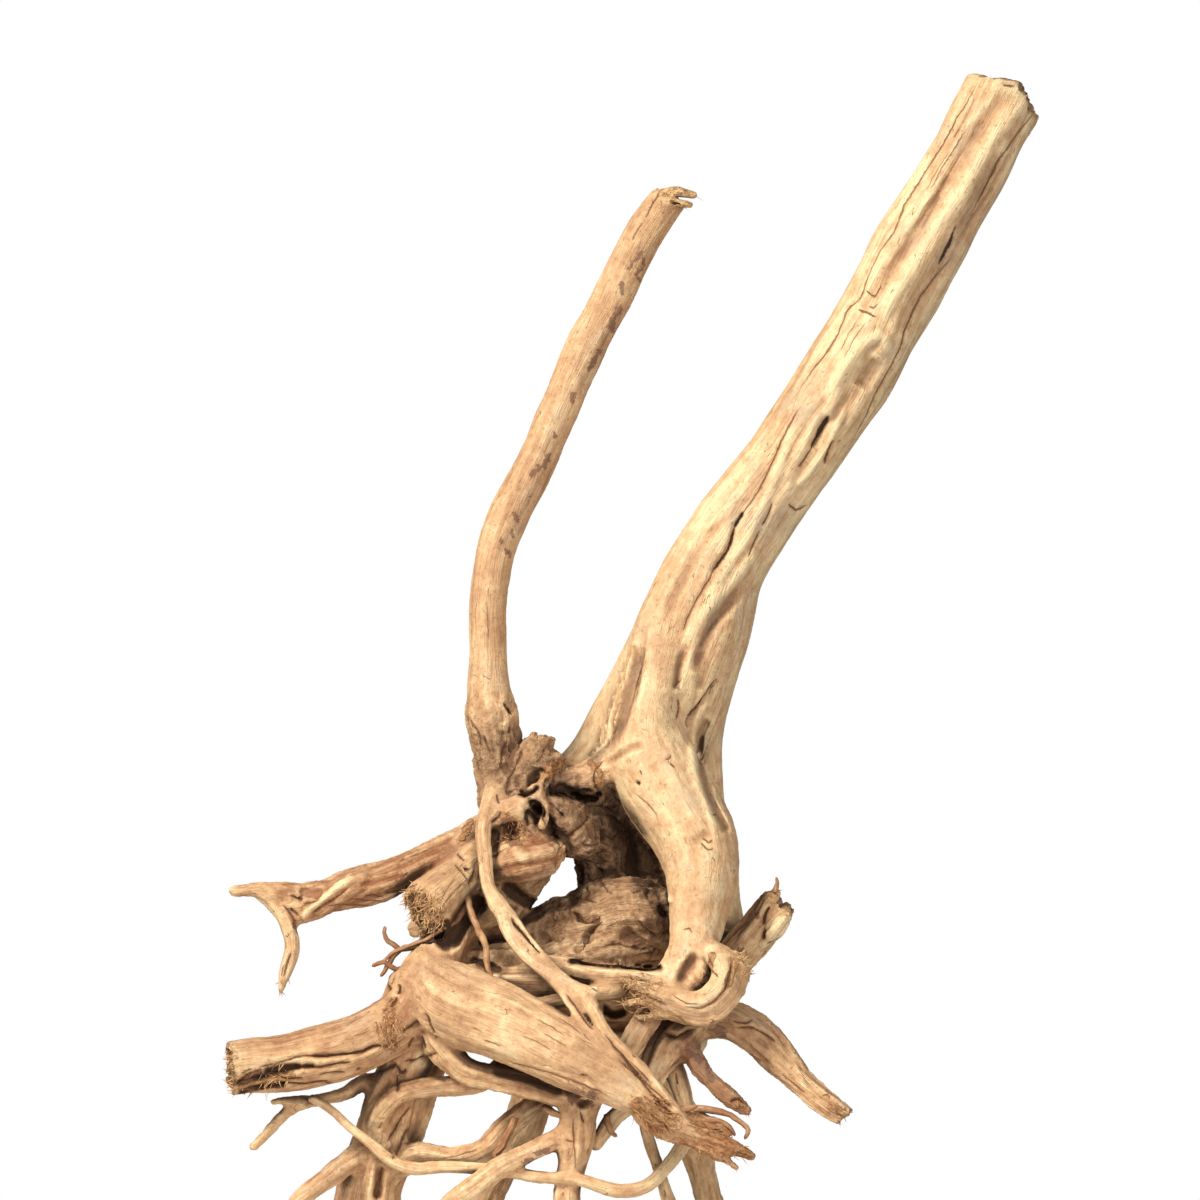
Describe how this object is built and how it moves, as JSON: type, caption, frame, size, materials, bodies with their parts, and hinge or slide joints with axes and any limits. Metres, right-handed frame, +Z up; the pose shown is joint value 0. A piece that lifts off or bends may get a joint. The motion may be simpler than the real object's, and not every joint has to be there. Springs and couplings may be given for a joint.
{
  "type": "driftwood stump",
  "caption": "Upright root stump of driftwood: a thick fluted trunk and a thin side branch leaning over a hollow crown of tangled roots.",
  "frame": {"origin": "middle of the stump's footprint box, on the surface it stands on", "axes": "+Z up, -Y towards the front, +X towards the side the trunk leans to"},
  "size_m": [0.4047, 0.1989, 0.5945],
  "materials": {
    "driftwood": "dry, bleached and weathered, matt"
  },
  "bodies": {
    "root": {"driftwood_stump": "driftwood"}
  },
  "joints": []
}
